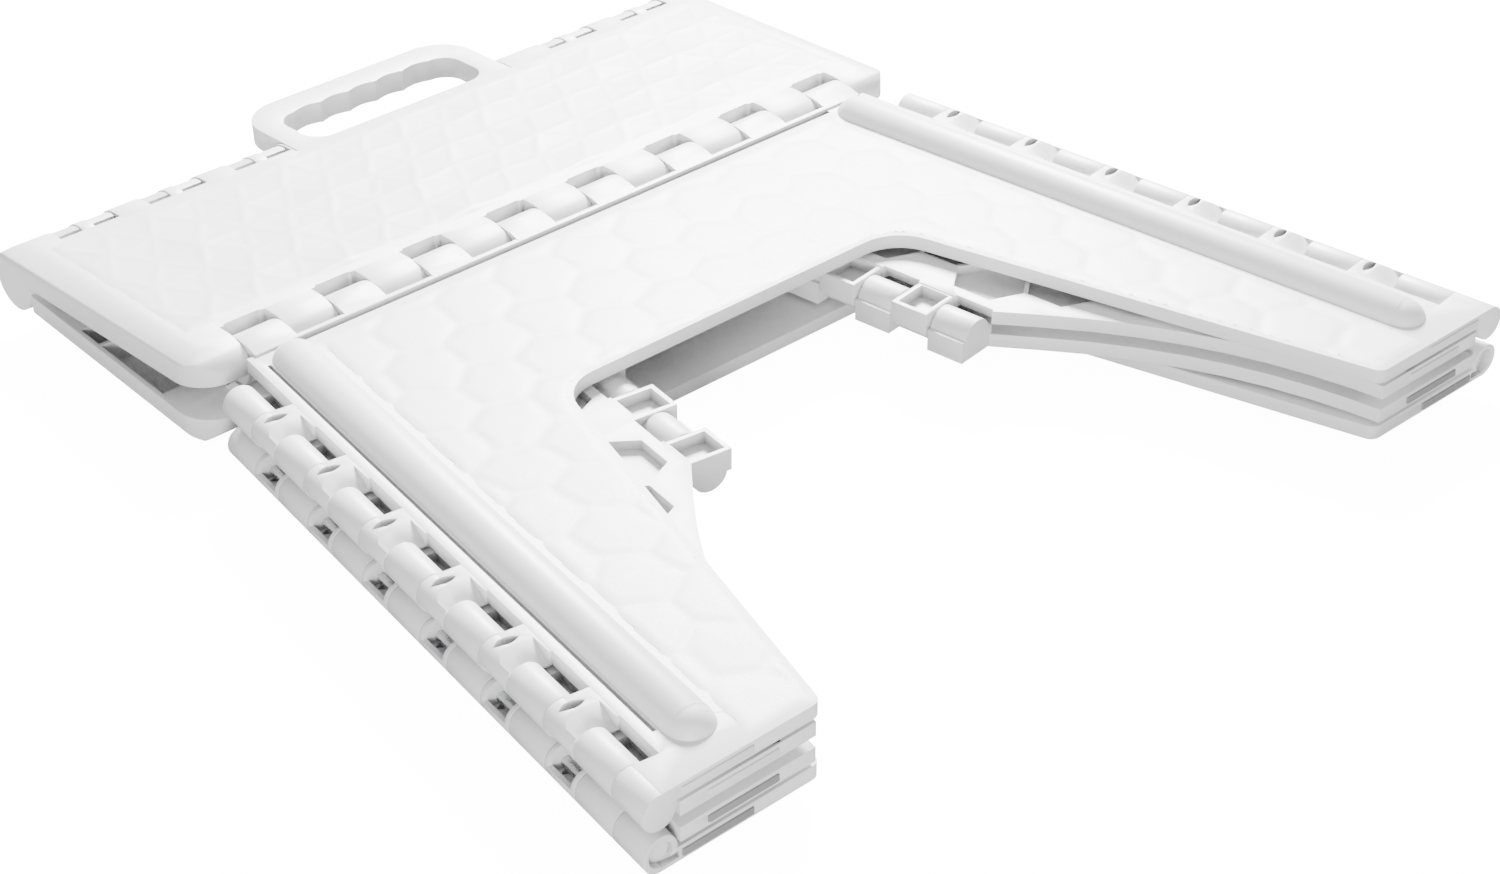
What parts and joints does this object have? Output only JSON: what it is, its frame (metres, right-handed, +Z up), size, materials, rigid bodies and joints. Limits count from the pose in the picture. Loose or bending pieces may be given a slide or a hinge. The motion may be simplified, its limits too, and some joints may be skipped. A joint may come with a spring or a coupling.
{
  "type": "folding step stool",
  "caption": "Folding plastic step for pets and people, stored folded flat: arched legs, two-piece top with carry handle, folding end panels.",
  "frame": {"origin": "centre of the underside of the folded object's box", "axes": "+X along the top hinge, +Y from the feet to the carry handle, +Z up through the folded stack"},
  "size_m": [0.5693, 0.6074, 0.058],
  "materials": {
    "plastic": "fine matte",
    "steel": "drawn",
    "rubber_light": "matte",
    "rubber_dark": "matte"
  },
  "bodies": {
    "leg_lower": {"leg_lower": "plastic", "pin_main_lower": "steel", "pin_corner_left_lower": "steel", "pin_corner_right_lower": "steel", "pad_leg_lower_left": "rubber_dark", "pad_leg_lower_right": "rubber_dark"},
    "top_lower": {"top_half_lower": "plastic"},
    "top_upper": {"top_half_upper": "plastic", "pin_top_left": "steel", "pin_top_right": "steel"},
    "leg_upper": {"leg_upper": "plastic", "pin_main_upper": "steel", "pin_corner_left_upper": "steel", "pin_corner_right_upper": "steel", "pad_leg_upper_left": "rubber_light", "pad_leg_upper_right": "rubber_light"},
    "end_left_lower": {"end_left_lower": "plastic", "pad_end_left_lower": "rubber_dark"},
    "end_left_upper": {"end_left_upper": "plastic", "pin_end_left": "steel", "pad_end_left_upper": "rubber_light"},
    "end_right_lower": {"end_right_lower": "plastic", "pin_end_right": "steel", "pad_end_right_lower": "rubber_dark"},
    "end_right_upper": {"end_right_upper": "plastic", "pad_end_right_upper": "rubber_light"}
  },
  "joints": [
    {"name": "top_lower_fold", "type": "hinge", "parent": "leg_lower", "child": "top_lower", "pos_m": [0, 0.09131, 0.018], "axis": [1, 0, 0], "range_deg": [0, 87.13]},
    {"name": "top_centre_fold", "type": "hinge", "parent": "top_lower", "child": "top_upper", "pos_m": [0, 0.25093, 0.029], "axis": [1, 0, 0], "range_deg": [-174.36, 0]},
    {"name": "top_upper_fold", "type": "hinge", "parent": "top_upper", "child": "leg_upper", "pos_m": [0, 0.09131, 0.04], "axis": [1, 0, 0], "range_deg": [0, 87.18]},
    {"name": "end_left_lower_fold", "type": "hinge", "parent": "leg_lower", "child": "end_left_lower", "pos_m": [-0.22368, 0.07609, 0.018], "axis": [-0.1357, -0.9907, 0], "range_deg": [0, 87.18]},
    {"name": "end_left_centre_fold", "type": "hinge", "parent": "end_left_lower", "child": "end_left_upper", "pos_m": [-0.06554, 0.05443, 0.029], "axis": [-0.1357, -0.9907, 0], "range_deg": [-174.36, 0]},
    {"name": "end_right_lower_fold", "type": "hinge", "parent": "leg_lower", "child": "end_right_lower", "pos_m": [0.22368, 0.07609, 0.018], "axis": [-0.1357, 0.9907, 0], "range_deg": [0, 87.18]},
    {"name": "end_right_centre_fold", "type": "hinge", "parent": "end_right_lower", "child": "end_right_upper", "pos_m": [0.06554, 0.05443, 0.029], "axis": [-0.1357, 0.9907, 0], "range_deg": [-174.36, 0]}
  ],
  "couplings": [
    {"joint": "top_centre_fold", "follows": "top_lower_fold", "ratio": -2},
    {"joint": "top_upper_fold", "follows": "top_lower_fold", "ratio": 1},
    {"joint": "end_left_lower_fold", "follows": "top_lower_fold", "ratio": 1},
    {"joint": "end_left_centre_fold", "follows": "top_lower_fold", "ratio": -2},
    {"joint": "end_right_lower_fold", "follows": "top_lower_fold", "ratio": 1},
    {"joint": "end_right_centre_fold", "follows": "top_lower_fold", "ratio": -2}
  ]
}
